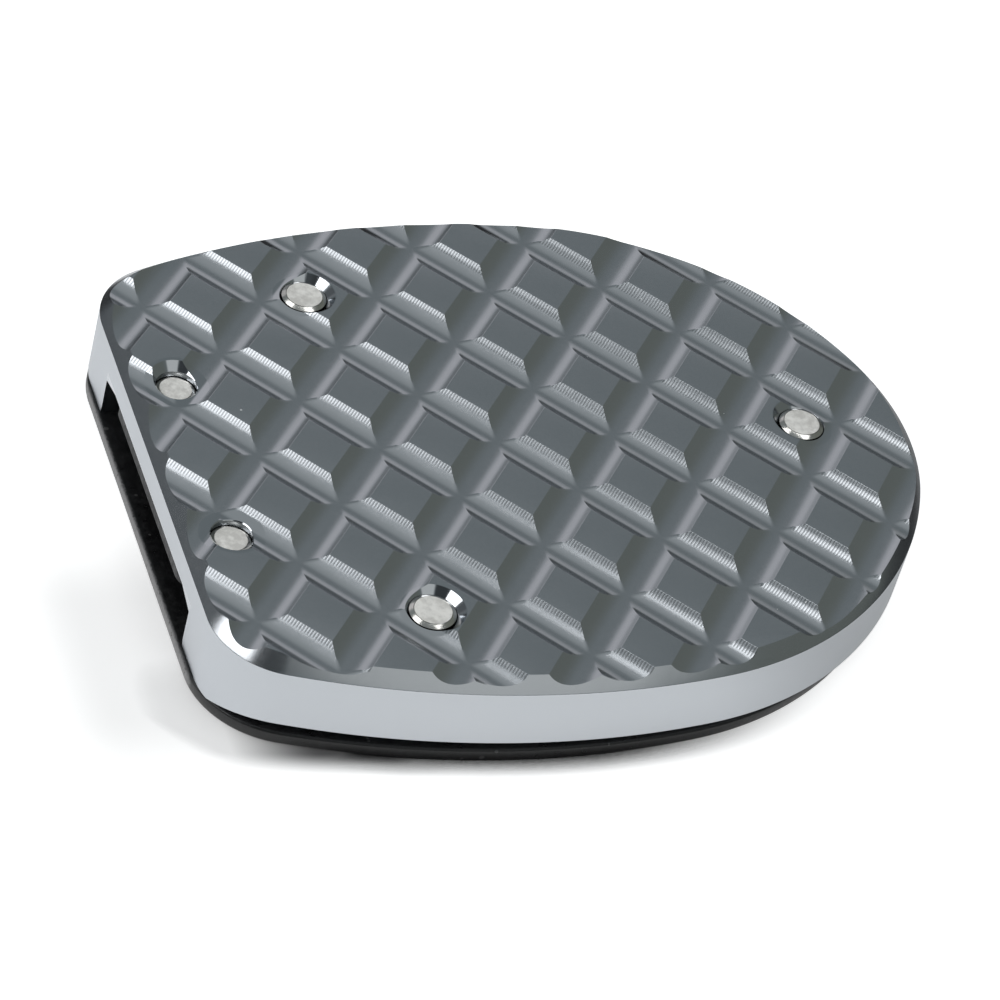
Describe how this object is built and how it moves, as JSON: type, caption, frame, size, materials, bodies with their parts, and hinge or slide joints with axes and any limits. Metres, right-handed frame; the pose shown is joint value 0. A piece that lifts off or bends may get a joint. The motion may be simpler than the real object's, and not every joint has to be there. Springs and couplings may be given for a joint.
{
  "type": "kickstand foot enlarger",
  "caption": "D-shaped kickstand foot enlarger: thick aluminium plate with a milled waffle grip face, screwed to a thin black clamp plate, with a mouth pocket that takes the stand's foot.",
  "frame": {"origin": "middle of the bounding box in X and Y, on the clamp plate's outer face", "axes": "+X from the straight mouth edge to the rounded nose, +Z out of the grip face; the XZ plane is the plane of symmetry"},
  "size_m": [0.0848, 0.0712, 0.0112],
  "materials": {
    "anodised_aluminium": "satin anodised, milled",
    "black_coating": "matt black powder coating",
    "pad_rubber": "matt",
    "stainless_steel": "turned, bright"
  },
  "bodies": {
    "root": {"base_plate": "anodised_aluminium", "clamp_plate": "black_coating", "pocket_pad": "pad_rubber", "plate_screws": "stainless_steel", "mouth_screws": "stainless_steel"}
  },
  "joints": []
}
